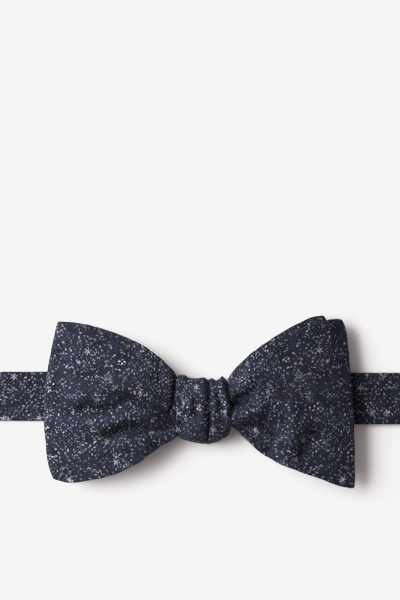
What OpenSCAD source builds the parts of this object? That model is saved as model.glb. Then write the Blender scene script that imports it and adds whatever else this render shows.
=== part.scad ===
// Butterfly bow tie, tied by hand, lying face up with its neckband laid out straight.
// X runs along the band, Y up the bow and Z towards the viewer.
// The origin is on the table, under the middle of the knot and the band's centre line.
// The front bow is a folded loop on the left and a cut end on the right.
// The rear bow is the other way round, and the knot wraps the waists of both.
// Every blade is two shell panels with an interlining between them.

/* [Band] */
// Width of the neckband
band_w = 19.5; // [17:0.5:22]
// Thickness of the neckband
band_t = 1.6; // [1.4:0.1:1.8]
// Distance from the knot's middle to the bar that carries the hook
hook_x = 194; // [190:1:200]
// Distance from the knot's middle to the bar that carries the eye
eye_x = 197; // [193:1:203]
// Length of strap that is doubled back from the hook to the slider
doubled = 45; // [40:1:48]

/* [Bow] */
// Height of the left wing at its outer end
left_h = 62.5; // [56:0.5:66]
// Height of the right wing at its outer end
right_h = 66.3; // [60:0.5:70]
// Reach of the left wing from the knot's middle
left_reach = 61.8; // [58:0.1:64]
// Reach of the right wing from the knot's middle
right_reach = 59.2; // [57:0.1:62]
// Thickness of a blade
blade_t = 1.5; // [1.4:0.1:1.6]

/* [Knot] */
// Width of the knot along the band
knot_w = 22; // [20:0.5:23]
// Height of the knot up the bow
knot_h = 26.2; // [25:0.2:28]
// Depth of the knot from its back to its front
knot_d = 17.4; // [17:0.1:19]

/* [Metalwork] */
// Diameter of the round bars of the hook and the eye
bar_d = 1.5; // [1.4:0.1:1.6]
// Length of the slider along the band
slider_l = 11.6; // [11:0.2:13]

/* [Hidden] */

navy = "#2b3346";
canvas = "#d8d2c2";
steel = "#b9bcc0";

// Band levels above the table
band_z = 1.7;
shell_t = 0.4;
gap = 0.05;
joint_gap = 0.3;
// The band bends at these distances from the knot's middle
bends = [24, 54, 84];
outer_end = 90;
fold_start = 184;

// The adjuster's strap is thinner than the band
strap_t = 1.3;
run_z = 1.75;
return_z = 0.15;
bar_z = 2.3;
bar_room = 0.1;
turn_r = bar_d / 2 + bar_room + strap_t / 2;
slider_x = hook_x - doubled;

// The knot hangs below the band's centre line
knot_y = -5.1;
knot_skin = 1.4;

wing_start = 14;
waist_reach = 12;
wing_space = 60;

// ---- Outlines and profiles ----

// Points along a cubic curve
function curve(p, n = 12) = [
    for (i = [0 : n])
        let (t = i / n, s = 1 - t)
        s * s * s * p[0] + 3 * s * s * t * p[1] + 3 * s * t * t * p[2] + t * t * t * p[3]
];

// Points along an arc
function arc(c, r, from, to, n = 10) = [
    for (i = [0 : n])
        let (a = from + (to - from) * i / n)
        c + r * [cos(a), sin(a)]
];

// Unit normal of a path at one of its points, to the left of its direction
function normal(path, i) =
    let (
        a = path[max(i - 1, 0)],
        b = path[min(i + 1, len(path) - 1)],
        d = (b - a) / norm(b - a)
    )
    [-d[1], d[0]];

// Closed outline of the ribbon between two distances to the left of a path
function ribbon(path, low, high) = concat(
    [for (i = [0 : len(path) - 1]) path[i] + low * normal(path, i)],
    [for (i = [len(path) - 1 : -1 : 0]) path[i] + high * normal(path, i)]
);

// Box outline with one corner radius at its low side and another at its high side
function round_box(w, low, high, r_low, r_high) = concat(
    arc([w / 2 - r_low, low + r_low], r_low, -90, 0, 6),
    arc([w / 2 - r_high, high - r_high], r_high, 0, 90, 8),
    arc([r_high - w / 2, high - r_high], r_high, 90, 180, 8),
    arc([r_low - w / 2, low + r_low], r_low, 180, 270, 6)
);

// An X-Z profile drawn out along Y, centred on the band's line
module drawn(profile, width) {
    rotate([90, 0, 0])
        translate([0, 0, -width / 2])
            linear_extrude(width) polygon(profile);
}

// The three layers of a blade, counted outwards from its middle
half_blade = blade_t / 2;
core_half = half_blade - shell_t - gap;

// Part of a blade: a ribbon along an X-Z path, cut to the wing's outline
module blade_layer(outline, path, from, to) {
    intersection() {
        linear_extrude(wing_space) polygon(outline);
        drawn(ribbon(path, from, to), 2 * wing_space);
    }
}

// A shell panel of a blade, on the side of its path that side gives
module panel(outline, path, side)
    color(navy) blade_layer(outline, path, side * (core_half + gap), side * half_blade);

module interlining(outline, path)
    color(canvas) blade_layer(outline, path, -core_half, core_half);

// ---- Wing outlines, seen from the front ----

left_top = left_h / 2 - 0.9;
left_low = left_top - left_h;
right_top = right_h / 2 - 1.9;
right_low = right_top - right_h;

front_loop_outline = concat(
    curve([[-wing_start, 12.5], [-21, 20.5], [-38, left_top - 0.8], [5.3 - left_reach, left_top]]),
    curve([[5.3 - left_reach, left_top], [0.6 - left_reach, 14],
           [-left_reach - 3.2, -12], [3.6 - left_reach, left_low + 1]]),
    curve([[6.2 - left_reach, left_low], [-38, left_low], [-23, left_low + 7], [-wing_start, -15.8]])
);

rear_end_outline = [
    [-wing_start, 11.5], [-27, 20], [-42, 25.5], [7 - left_reach, left_top - 3],
    [3 - left_reach, 0], [6 - left_reach, left_low + 4],
    [-42, left_low + 5], [-27, left_low + 10], [-wing_start, -14.5]
];

front_end_outline = concat(
    curve([[wing_start, 13], [20, 19.5], [38, right_top - 3], [right_reach - 5, right_top]]),
    curve([[right_reach - 5, right_top], [right_reach - 1.6, 16],
           [right_reach - 0.2, -10], [right_reach, right_low]]),
    curve([[right_reach, right_low], [45, right_low + 1.2], [25, right_low + 12], [wing_start, -13.5]])
);

rear_loop_outline = concat(
    curve([[wing_start, 13.2], [20, 19.5], [33, 28.5], [47, 32.7]]),
    curve([[47, 32.7], [51, 14], [53, -12], [51, -28.5]]),
    curve([[50, -29.5], [40, -28.5], [25, -20], [wing_start, -12.8]])
);

// ---- Blade paths, seen along Y ----

front_turn_r = 2.4;
front_turn = [front_turn_r - left_reach + half_blade, 11];
front_loop_path = concat(
    curve([[-wing_start, 12.4], [-24, 14.4], [-42, 14.6], [front_turn[0], front_turn[1] + front_turn_r]]),
    arc(front_turn, front_turn_r, 100, 260),
    curve([[front_turn[0], front_turn[1] - front_turn_r], [-42, 8.3], [-24, 8.6], [-wing_start, 9.4]])
);
rear_end_path = curve([[-wing_start, 6], [-26, 5.1], [-42, 5.3], [-60, 5.2]]);

rear_turn_r = 2;
rear_turn = [49.4, 6.8];
front_end_path = curve([[wing_start, 11.6], [26, 13.2], [42, 12.6], [62, 11.8]]);
rear_loop_path = concat(
    curve([[wing_start, 5.4], [26, 4.6], [38, 4.8], [rear_turn[0], rear_turn[1] - rear_turn_r]]),
    arc(rear_turn, rear_turn_r, -80, 80),
    curve([[rear_turn[0], rear_turn[1] + rear_turn_r], [38, 9.1], [26, 8.9], [wing_start, 7.9]])
);

// ---- Knot ----

module knot_ring(inset, wall, colour) {
    outer_w = knot_h - 2 * inset;
    inner_w = outer_w - 2 * wall;
    color(colour)
        translate([-knot_w / 2, knot_y, 0])
            rotate([90, 0, 90])
                linear_extrude(knot_w)
                    difference() {
                        polygon(round_box(outer_w, inset, knot_d - inset, 3.2 - inset, 7 - inset));
                        polygon(round_box(inner_w, inset + wall, knot_d - inset - wall,
                                          3.2 - inset - wall, 7 - inset - wall));
                    }
}

module knot_wrap() knot_ring(0, shell_t + gap, navy);
module knot_interlining() knot_ring(shell_t + 2 * gap, knot_skin - shell_t - 2 * gap, canvas);

// The gathered middle of a bow, inside the knot
module waist(low, high_side, r) {
    color(navy)
        translate([-waist_reach, knot_y, 0])
            rotate([90, 0, 90])
                linear_extrude(2 * waist_reach)
                    polygon(round_box(knot_h - 2 * knot_skin - 2, low, high_side, 1, r));
}

module front_waist() waist(8.9, knot_d - knot_skin - 0.2, 4.5);
module rear_waist() waist(3.6, 8.7, 1);

// ---- Wings ----

module front_loop_face() panel(front_loop_outline, front_loop_path, -1);
module front_loop_interlining() interlining(front_loop_outline, front_loop_path);
module front_loop_lining() panel(front_loop_outline, front_loop_path, 1);

module rear_end_face() panel(rear_end_outline, rear_end_path, -1);
module rear_end_interlining() interlining(rear_end_outline, rear_end_path);
module rear_end_lining() panel(rear_end_outline, rear_end_path, 1);

module front_end_face() panel(front_end_outline, front_end_path, 1);
module front_end_interlining() interlining(front_end_outline, front_end_path);
module front_end_lining() panel(front_end_outline, front_end_path, -1);

module rear_loop_face() panel(rear_loop_outline, rear_loop_path, -1);
module rear_loop_interlining() interlining(rear_loop_outline, rear_loop_path);
module rear_loop_lining() panel(rear_loop_outline, rear_loop_path, 1);

// ---- Neckband ----

// A flat tube of shell cloth between two distances along the band
module band_shell(from, to) {
    color(navy)
        translate([from, 0, band_z])
            difference() {
                translate([0, -band_w / 2, 0]) cube([to - from, band_w, band_t]);
                translate([-1, shell_t - band_w / 2, shell_t])
                    cube([to - from + 2, band_w - 2 * shell_t, band_t - 2 * shell_t]);
            }
}

module band_interlining(from, to) {
    inset = shell_t + gap;
    color(canvas)
        translate([from, inset - band_w / 2, band_z + inset])
            cube([to - from, band_w - 2 * inset, band_t - 2 * inset]);
}

// The band narrows where the knot gathers it
function gathered(inset) =
    let (
        far = bends[0] - joint_gap / 2,
        near = knot_w / 2 + 1.5,
        wide = band_w / 2 - inset,
        top = knot_y + knot_h / 2 - knot_skin - 0.8 - inset,
        low = inset - band_w / 2
    )
    [
        [-far, low], [far, low], [far, wide], [near + 6, wide], [near, top],
        [-near, top], [-near - 6, wide], [-far, wide]
    ];

module band_centre() {
    color(navy)
        difference() {
            translate([0, 0, band_z]) linear_extrude(band_t) polygon(gathered(0));
            translate([0, 0, band_z + shell_t])
                linear_extrude(band_t - 2 * shell_t) polygon(gathered(shell_t));
        }
}

module band_centre_interlining() {
    inset = shell_t + gap;
    color(canvas)
        translate([0, 0, band_z + inset]) linear_extrude(band_t - 2 * inset) polygon(gathered(inset));
}

inner_span = [bends[0] + joint_gap / 2, bends[1] - joint_gap / 2];
middle_span = [bends[1] + joint_gap / 2, bends[2] - joint_gap / 2];
outer_near = bends[2] + joint_gap / 2;
right_fold_start = eye_x - hook_x + fold_start;

module left_band_inner() band_shell(-inner_span[1], -inner_span[0]);
module left_band_inner_interlining() band_interlining(-inner_span[1], -inner_span[0]);
module left_band_middle() band_shell(-middle_span[1], -middle_span[0]);
module left_band_middle_interlining() band_interlining(-middle_span[1], -middle_span[0]);
module left_band_outer() band_shell(-outer_end, -outer_near);

module right_band_inner() band_shell(inner_span[0], inner_span[1]);
module right_band_inner_interlining() band_interlining(inner_span[0], inner_span[1]);
module right_band_middle() band_shell(middle_span[0], middle_span[1]);
module right_band_middle_interlining() band_interlining(middle_span[0], middle_span[1]);
module right_band_outer() band_shell(outer_near, right_fold_start);
module right_band_outer_interlining() band_interlining(outer_near, right_fold_start);

// ---- Adjuster ----

// Strap turned round a bar at distance bar_at, on the right; its legs end at distance legs_at
module strap_turn(legs_at, bar_at, top_z) {
    turn = [bar_at, bar_z];
    path = concat(
        curve([[legs_at, top_z], [legs_at + 5, top_z], [bar_at - 4, bar_z + turn_r],
               [bar_at, bar_z + turn_r]], 8),
        arc(turn, turn_r, 80, -80, 12),
        [[bar_at, bar_z - turn_r], [legs_at, bar_z - turn_r]]
    );
    color(navy) drawn(ribbon(path, -strap_t / 2, strap_t / 2), band_w);
}

module strap_run() {
    color(navy)
        translate([-fold_start + gap, -band_w / 2, run_z])
            cube([fold_start - outer_end - 2 * gap, band_w, strap_t]);
}

module hook_fold() mirror([1, 0, 0]) strap_turn(fold_start, hook_x, run_z + strap_t / 2);

// The doubled end of the strap, under the running strap
end_reach = slider_x + 6;
module strap_return() {
    color(navy)
        translate([-fold_start + gap, -band_w / 2, return_z])
            cube([fold_start - end_reach - 2 * gap, band_w, strap_t]);
}

// The slider's middle bar is flat, and the strap's end wraps it
slider_bar = [2.4, 0.6];
slider_bar_z = return_z + strap_t / 2;
wrap_t = 0.3;
module strap_end() {
    half = slider_bar[1] / 2 + gap + wrap_t / 2;
    centre = [slider_x - slider_bar[0] / 2 + 0.3, slider_bar_z];
    path = concat(
        [[end_reach, slider_bar_z + half], [centre[0], slider_bar_z + half]],
        arc(centre, half, 100, 260, 8),
        [[centre[0], slider_bar_z - half], [end_reach, slider_bar_z - half]]
    );
    color(navy) mirror([1, 0, 0]) drawn(ribbon(path, -wrap_t / 2, wrap_t / 2), band_w - 1);
}

slider_w = band_w + 4.1;
slider_low = 0.45;
slider_high = 4;
slot_half = slider_l / 2 - 1.7;
channel_w = band_w + 0.6;
channel_high = run_z + strap_t + 0.15;
module slider() {
    color(steel)
        translate([-slider_x, 0, 0]) {
            difference() {
                translate([0, 0, slider_low])
                    linear_extrude(slider_high - slider_low)
                        difference() {
                            rotate(90)
                                polygon(round_box(slider_w, -slider_l / 2, slider_l / 2, 1.6, 1.6));
                            square([2 * slot_half, channel_w], center = true);
                        }
                translate([-slider_l, -channel_w / 2, -1]) cube([2 * slider_l, channel_w, 1 + channel_high]);
            }
            translate([-slider_bar[0] / 2 + 0.3, -channel_w / 2 - 0.5, slider_bar_z - slider_bar[1] / 2])
                cube([slider_bar[0] - 0.6, channel_w + 1, slider_bar[1]]);
        }
}

// ---- Hook and eye ----

arm_gap = band_w + 1;
arm_w = 1.5;
ring_w = arm_gap + 2 * arm_w;

module cross_bar(x, length) {
    translate([x, length / 2, bar_z]) rotate([90, 0, 0]) cylinder(h = length, d = bar_d, $fn = 48);
}

module ring_arms(from, to) {
    for (side = [-1, 1])
        translate([from, side * (arm_gap + arm_w) / 2 - arm_w / 2, bar_z - bar_d / 2])
            cube([to - from, arm_w, bar_d]);
}

module eye() {
    far_bar = eye_x + 9;
    color(steel) {
        cross_bar(eye_x, ring_w);
        cross_bar(far_bar, ring_w);
        ring_arms(eye_x, far_bar);
    }
}

tongue_t = 1;
tongue_w = 8;
hook_turn_r = 2.3;
module hook() {
    plate = [hook_x + 3, hook_x + 5.4];
    turn = [eye_x + 9 + bar_d / 2 - hook_turn_r - tongue_t / 2, bar_z + hook_turn_r];
    path = concat(
        [[plate[1] - 0.5, bar_z], [turn[0], bar_z]],
        arc(turn, hook_turn_r, -80, 80, 12),
        [[turn[0], turn[1] + hook_turn_r], [plate[1] + 0.6, turn[1] + hook_turn_r - 0.5],
         [plate[1] - 0.8, turn[1] + hook_turn_r + 0.3]]
    );
    color(steel)
        mirror([1, 0, 0]) {
            cross_bar(hook_x, ring_w);
            ring_arms(hook_x, plate[0] + 1);
            translate([plate[0], -ring_w / 2, bar_z - bar_d / 2])
                cube([plate[1] - plate[0], ring_w, bar_d]);
            drawn(ribbon(path, -tongue_t / 2, tongue_t / 2), tongue_w);
        }
}

module eye_fold() strap_turn(right_fold_start + gap, eye_x, band_z + band_t / 2);

// A row of thread across the strap, over the end that is sewn down
module eye_bartack() {
    color("#39435a")
        translate([right_fold_start - 3, 2 - band_w / 2, band_z + band_t])
            cube([1.2, band_w - 4, 0.3]);
}

knot_wrap();
knot_interlining();
front_waist();
rear_waist();
band_centre();
band_centre_interlining();
front_loop_face();
front_loop_interlining();
front_loop_lining();
rear_end_face();
rear_end_interlining();
rear_end_lining();
front_end_face();
front_end_interlining();
front_end_lining();
rear_loop_face();
rear_loop_interlining();
rear_loop_lining();
left_band_inner();
left_band_inner_interlining();
left_band_middle();
left_band_middle_interlining();
left_band_outer();
strap_run();
hook_fold();
strap_return();
strap_end();
slider();
hook();
right_band_inner();
right_band_inner_interlining();
right_band_middle();
right_band_middle_interlining();
right_band_outer();
right_band_outer_interlining();
eye_fold();
eye_bartack();
eye();
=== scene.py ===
import math

import bmesh
import bpy
import numpy as np
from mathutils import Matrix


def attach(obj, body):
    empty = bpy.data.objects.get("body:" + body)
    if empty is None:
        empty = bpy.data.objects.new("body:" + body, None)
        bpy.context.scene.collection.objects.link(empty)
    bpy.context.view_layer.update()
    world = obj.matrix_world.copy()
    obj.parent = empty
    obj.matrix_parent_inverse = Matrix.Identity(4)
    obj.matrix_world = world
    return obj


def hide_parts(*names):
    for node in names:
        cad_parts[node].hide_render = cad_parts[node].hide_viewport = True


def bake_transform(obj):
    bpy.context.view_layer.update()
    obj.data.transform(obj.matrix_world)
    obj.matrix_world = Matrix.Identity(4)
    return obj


# Bow tie: folded wings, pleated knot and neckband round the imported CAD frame.
# Shapes are worked out in millimetres in the row frame and written to the meshes in metres.

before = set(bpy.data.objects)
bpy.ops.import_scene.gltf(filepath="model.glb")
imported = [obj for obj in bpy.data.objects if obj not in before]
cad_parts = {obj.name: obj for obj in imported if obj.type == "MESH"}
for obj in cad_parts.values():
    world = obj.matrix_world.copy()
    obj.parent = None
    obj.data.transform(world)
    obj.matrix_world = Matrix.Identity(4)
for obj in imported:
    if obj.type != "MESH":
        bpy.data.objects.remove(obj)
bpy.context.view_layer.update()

MM = 0.001

# Cloth, in millimetres: a panel, a whole blade, how wide a sewn edge rolls over, a cut end's corners
SHELL_T = 0.4
BLADE_T = 1.5
EDGE_ROLL = 0.8
CORNER_R = 1.8
# Points closer than this are joined
WELD = 0.002


# ---- Curves ----

def gaps(path, axis=0):
    """Distances between neighbouring points."""
    return np.linalg.norm(np.diff(np.array(path, float), axis=axis), axis=-1)


def running(steps):
    """Distance from the start after each step, beginning with 0."""
    return np.concatenate([[0], np.cumsum(steps)])


def spline(points, t):
    """Points at t (0 to 1) of a smooth curve through points, spaced by their distances."""
    p = np.array(points, float)
    steps = gaps(p)
    knots = running(steps) / steps.sum()
    slopes = np.gradient(p, knots, axis=0)
    t = np.clip(np.asarray(t, float), 0, 1)
    i = np.clip(np.searchsorted(knots, t, side="right") - 1, 0, len(p) - 2)
    width = (knots[i + 1] - knots[i])[..., None]
    f = ((t - knots[i]) / width[..., 0])[..., None]
    return (
        (2 * f**3 - 3 * f**2 + 1) * p[i]
        + (f**3 - 2 * f**2 + f) * width * slopes[i]
        + (3 * f**2 - 2 * f**3) * p[i + 1]
        + (f**3 - f**2) * width * slopes[i + 1]
    )


def smooth(t, low=0.0, high=1.0):
    t = np.clip((t - low) / (high - low), 0, 1)
    return t * t * (3 - 2 * t)


def along_fold(x, y, points, fade):
    """Each place's distance from a line in plan, positive on its left, and the line's strength there."""
    steps = np.linspace(0, 1, 90)
    line = spline(points, steps)
    way = np.gradient(line, axis=0)
    way /= np.linalg.norm(way, axis=1, keepdims=True)
    strength = smooth(steps, 0, fade) * (1 - smooth(steps, 1 - fade, 1))
    offset = np.stack([x[..., None] - line[:, 0], y[..., None] - line[:, 1]], axis=-1)
    distance = np.linalg.norm(offset, axis=-1)
    near = distance.argmin(-1)
    close = np.take_along_axis(distance, near[..., None], -1)[..., 0]
    gap = np.stack([x, y], axis=-1) - line[near]
    side = way[near][..., 0] * gap[..., 1] - way[near][..., 1] * gap[..., 0]
    return close * np.sign(side), strength[near]


def crease(x, y, points, width, height, fade=0.25):
    """Height of a fold along a line in plan: negative is a valley. It fades out towards both ends."""
    distance, strength = along_fold(x, y, points, fade)
    return height * strength * np.exp(-((distance / width) ** 2))


def drop(x, y, points, width, height, fade=0.25):
    """Height of a step in the cloth: it stands up on the left of the line and sinks on the right."""
    distance, strength = along_fold(x, y, points, fade)
    share = distance / width
    return height * strength * share * np.exp(0.5 - share**2 / 2)


def sink(x, y, points, width, depth):
    """Lowers all the cloth on the right of a line in plan, coming down over a width."""
    distance, _ = along_fold(x, y, points, 0.1)
    return -depth * smooth(-distance, 0, width)


def folded(z, x, y, folds):
    """The height z with folds added. Each fold is its kind, its line in plan and that kind's measures."""
    for kind, points, *measures in folds:
        z = z + kind(x, y, points, *measures)
    return z


def ridge_noise(x, y, seed, scale):
    """Low, slow unevenness of hand-pressed cloth, from a few fixed waves."""
    rng = np.random.default_rng(seed)
    total = np.zeros_like(x)
    for _ in range(9):
        angle, phase = rng.uniform(0, 2 * math.pi, 2)
        length = scale * rng.uniform(0.6, 1.8)
        total += np.sin((x * math.cos(angle) + y * math.sin(angle)) * 2 * math.pi / length + phase)
    return total / 9


# ---- Meshes ----

def grid_normals(p, closed=False):
    du = np.gradient(p, axis=0)
    if closed:
        ring = p[:, :-1]
        dv = (np.roll(ring, -1, axis=1) - np.roll(ring, 1, axis=1)) / 2
        dv = np.concatenate([dv, dv[:, :1]], axis=1)
    else:
        dv = np.gradient(p, axis=1)
    n = np.cross(du, dv)
    return n / np.maximum(np.linalg.norm(n, axis=-1, keepdims=True), 1e-9)


def placed(name, data):
    """A new object with this data, linked to the scene."""
    ob = bpy.data.objects.new(name, data)
    bpy.context.scene.collection.objects.link(ob)
    return ob


def mesh_object(name, points, faces, uvs, material):
    """A mesh from points in millimetres, with cloth coordinates in millimetres for each point."""
    me = bpy.data.meshes.new(name)
    me.from_pydata([tuple(p * MM) for p in points], [], faces)
    layer = me.uv_layers.new(name="weave")
    corners = np.empty(len(me.loops), int)
    me.loops.foreach_get("vertex_index", corners)
    layer.data.foreach_set("uv", (uvs[corners] * MM).astype(np.float32).ravel())
    me.materials.append(material)
    return tidy(placed(name, me))


def tidy(ob):
    """Joins points that coincide, turns the faces outward, and shades all but the rims smooth."""
    bm = bmesh.new()
    bm.from_mesh(ob.data)
    bmesh.ops.remove_doubles(bm, verts=bm.verts, dist=WELD * MM)
    bmesh.ops.recalc_face_normals(bm, faces=bm.faces)
    bm.to_mesh(ob.data)
    bm.free()
    ob.data.polygons.foreach_set("use_smooth", [True] * len(ob.data.polygons))
    ob.data.set_sharp_from_angle(angle=math.radians(55))
    return ob


def slab(name, outer, inner, uv, material, closed=False):
    """A closed thin solid between two grids of points. On a closed grid the last column repeats the first."""
    rows, columns = outer.shape[:2]
    count = rows * columns
    points = np.concatenate([outer.reshape(-1, 3), inner.reshape(-1, 3)])
    uvs = np.concatenate([uv.reshape(-1, 2)] * 2)
    faces = []
    for i in range(rows - 1):
        for j in range(columns - 1):
            a = i * columns + j
            b, c, d = a + 1, a + columns + 1, a + columns
            faces.append((a, d, c, b))
            faces.append((a + count, b + count, c + count, d + count))
    rims = [(range(columns), 1), (range((rows - 1) * columns, rows * columns), -1)]
    if not closed:
        rims.append((range(0, count, columns), -1))
        rims.append((range(columns - 1, count, columns), 1))
    for rim, turn in rims:
        for a, b in zip(rim[:-1], rim[1:]):
            faces.append((a, b, b + count, a + count)[::turn])
    return mesh_object(name, points, faces, uvs, material)


# ---- Materials ----

class Nodes:
    """Short calls that add linked nodes to a material."""

    def __init__(self, name):
        self.material = bpy.data.materials.new(name)
        self.material.use_nodes = True
        self.tree = self.material.node_tree
        self.shader = self.tree.nodes["Principled BSDF"]

    def add(self, kind, inputs=(), **settings):
        node = self.tree.nodes.new(kind)
        for key, value in settings.items():
            setattr(node, key, value)
        for key, value in dict(inputs).items():
            self.feed(node.inputs[key], value)
        return node

    def feed(self, socket, value):
        if isinstance(value, bpy.types.NodeSocket):
            self.tree.links.new(value, socket)
        else:
            socket.default_value = value

    def shade(self, inputs):
        """Sets or links inputs of the material's shader, and returns the material."""
        for key, value in inputs.items():
            self.feed(self.shader.inputs[key], value)
        return self.material

    def weave(self):
        """The cloth's own coordinates, in metres."""
        return self.add("ShaderNodeUVMap", uv_map="weave").outputs[0]

    def place(self):
        return self.add("ShaderNodeTexCoord").outputs["Object"]

    def bump(self, height, strength, distance):
        inputs = {"Height": height, "Strength": strength, "Distance": distance}
        return self.add("ShaderNodeBump", inputs).outputs[0]

    def math(self, operation, a, b=0.0, c=0.0):
        return self.add("ShaderNodeMath", {0: a, 1: b, 2: c}, operation=operation).outputs[0]

    def times(self, a, b):
        return self.math("MULTIPLY", a, b)

    def vector(self, operation, a, b=(0, 0, 0)):
        return self.add("ShaderNodeVectorMath", {0: a, 1: b}, operation=operation).outputs[0]

    def scaled(self, a, factor):
        return self.vector("MULTIPLY", a, (factor, factor, factor))

    def length(self, a):
        return self.add("ShaderNodeVectorMath", {0: a}, operation="LENGTH").outputs["Value"]

    def turned(self, a, angle):
        inputs = {"Vector": a, "Angle": angle}
        return self.add("ShaderNodeVectorRotate", inputs, rotation_type="Z_AXIS").outputs[0]

    def split(self, a):
        return self.add("ShaderNodeSeparateXYZ", {0: a}).outputs

    def ramp(self, value, low, high, start=0.0, end=1.0):
        inputs = {"Value": value, "From Min": low, "From Max": high, "To Min": start, "To Max": end}
        return self.add("ShaderNodeMapRange", inputs, interpolation_type="SMOOTHSTEP").outputs[0]

    def mix(self, factor, a, b):
        return self.add("ShaderNodeMix", {0: factor, 6: a, 7: b}, data_type="RGBA").outputs[2]

    def noise(self, vector, detail, roughness):
        inputs = {"Vector": vector, "Scale": 1.0, "Detail": detail, "Roughness": roughness}
        return self.add("ShaderNodeTexNoise", inputs).outputs[0]

    def strokes(self, place, scatter, size, soft, arms=1, swing=6.28):
        """A short stroke or cross of arms in each cell, of this half size, and the cell's chance."""
        cells = self.add("ShaderNodeTexVoronoi", {"Vector": place, "Scale": 1.0, "Randomness": scatter},
                         voronoi_dimensions="2D")
        lot = self.add("ShaderNodeSeparateColor", {0: cells.outputs["Color"]})
        offset = self.vector("SUBTRACT", place, cells.outputs["Position"])
        mask = None
        for arm in range(arms):
            angle = self.math("MULTIPLY_ADD", lot.outputs[0], swing, arm * math.pi / arms)
            scaled = self.vector("MULTIPLY", self.turned(offset, angle), (1 / size[0], 1 / size[1], 0))
            stroke = self.ramp(self.length(scaled), 1.0 + soft / 2, 1.0 - soft / 2)
            mask = stroke if mask is None else self.math("MAXIMUM", mask, stroke)
        return mask, lot.outputs[1]


# Pitches of the cloth, in metres
YARN = 0.0004
FLECK_PITCH = 0.00155
SMALL_PITCH = 0.00105
STAR_PITCH = 0.0085
HERRINGBONE = 0.0062
TWILL = 0.00086


def flecked_cloth(name, offset, light=1.0):
    """Navy herringbone with pale slubs, on the cloth's own coordinates so that it moves with it. light scales
    all its colours: below 1 it paints shade onto a copy, above 1 painted light.
    """
    n = Nodes(name)
    uv = n.weave()
    uv = n.vector("ADD", uv, offset)
    wander = n.add("ShaderNodeTexNoise", {"Vector": n.scaled(uv, 1 / 0.0016), "Scale": 1.0, "Detail": 2.0})
    shift = n.scaled(n.vector("SUBTRACT", wander.outputs["Color"], (0.5, 0.5, 0.5)), 0.0007)
    bent = n.vector("ADD", uv, shift)

    # Herringbone: slanting ribs that turn back at every column
    along, across, _ = n.split(n.vector("ADD", uv, n.scaled(shift, 0.35)))
    slant = n.math("ADD", n.math("PINGPONG", across, HERRINGBONE), along)
    rib = n.math("PINGPONG", n.times(slant, math.sqrt(2) / TWILL), 1.0)
    rib = n.ramp(rib, 0.15, 0.8)
    strong = n.ramp(n.noise(n.scaled(uv, 1 / 0.006), 2.0, 0.5), 0.36, 0.66, 0.55, 0.97)

    # Slubs: short strokes on a slightly uneven diamond lattice, most of them leaning one way
    turned = n.turned(uv, math.radians(38))
    dots, chance = n.strokes(n.scaled(turned, 1 / FLECK_PITCH), 0.6, (0.27, 0.13), 0.6, swing=2.4)
    crowd = n.ramp(n.noise(n.scaled(uv, 1 / 0.008), 3.0, 0.6), 0.36, 0.62, 0.3, 1.0)
    dots = n.times(dots, n.times(n.math("POWER", chance, 2.5), crowd))

    # Smaller strokes, scattered between them
    moved = n.vector("ADD", uv, (0.31, 0.17, 0))
    small, chance = n.strokes(n.scaled(moved, 1 / SMALL_PITCH), 1.0, (0.28, 0.15), 0.6)
    small = n.times(small, n.ramp(chance, 0.6, 1.05, 0.0, 0.62))

    # Stars: ragged crosses of slub yarn
    star, chance = n.strokes(n.scaled(bent, 1 / STAR_PITCH), 0.95, (0.19, 0.028), 0.8, arms=3)
    star = n.times(star, n.ramp(chance, 0.5, 0.95, 0.0, 0.6))
    broken = n.ramp(n.noise(n.scaled(uv, 1 / 0.00055), 1.0, 0.5), 0.38, 0.56, 0.0, 1.0)
    star = n.times(star, broken)

    # Worms: short wandering slubs
    wind = n.noise(n.scaled(bent, 1 / 0.0034), 1.0, 0.4)
    line = n.ramp(n.math("ABSOLUTE", n.math("SUBTRACT", wind, 0.5)), 0.035, 0.008)
    where = n.ramp(n.noise(n.scaled(n.vector("ADD", uv, (0.7, 0.2, 0)), 1 / 0.0045), 1.0, 0.5), 0.58, 0.68)
    worm = n.times(n.times(line, where), n.times(broken, 0.5))
    fleck = n.math("MAXIMUM", n.math("MAXIMUM", dots, small), n.math("MAXIMUM", star, worm))

    # Ground: blue yarns over near-black ones, in cloudy patches
    cloudy = n.ramp(n.noise(n.scaled(uv, 1 / 0.007), 3.0, 0.55), 0.3, 0.7)
    over = n.mix(cloudy, rgb(0.0245, 0.026, 0.039, light), rgb(0.025, 0.030, 0.0515, light))
    under = n.mix(cloudy, rgb(0.0022, 0.002, 0.0025, light), rgb(0.0015, 0.0018, 0.003, light))
    ground = n.mix(n.math("SUBTRACT", 1.0, n.times(rib, strong)), under, over)
    colour = n.mix(fleck, ground, (0.46, 0.465, 0.55, 1))

    # Each yarn is a small round crown; ribs and slubs stand over the ground
    within = n.add("ShaderNodeVectorMath", {0: n.scaled(uv, 1 / YARN)}, operation="FRACTION").outputs[0]
    crown = n.add("ShaderNodeVectorMath", {0: within, 1: (0.5, 0.5, 0)}, operation="DISTANCE")
    height = n.times(crown.outputs["Value"], -0.5)
    height = n.math("ADD", height, n.times(rib, -0.9))
    height = n.math("ADD", height, n.times(fleck, 0.8))
    return n.shade({"Base Color": colour, "Roughness": n.ramp(rib, 0.0, 1.0, 0.9, 0.78),
                    "Specular IOR Level": 0.08, "Normal": n.bump(height, 0.3, 0.00015),
                    "Sheen Weight": 0.015, "Sheen Roughness": 0.5, "Sheen Tint": (0.6, 0.68, 0.85, 1)})


def rgb(red, green, blue, light):
    return (red * light, green * light, blue * light, 1)


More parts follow.
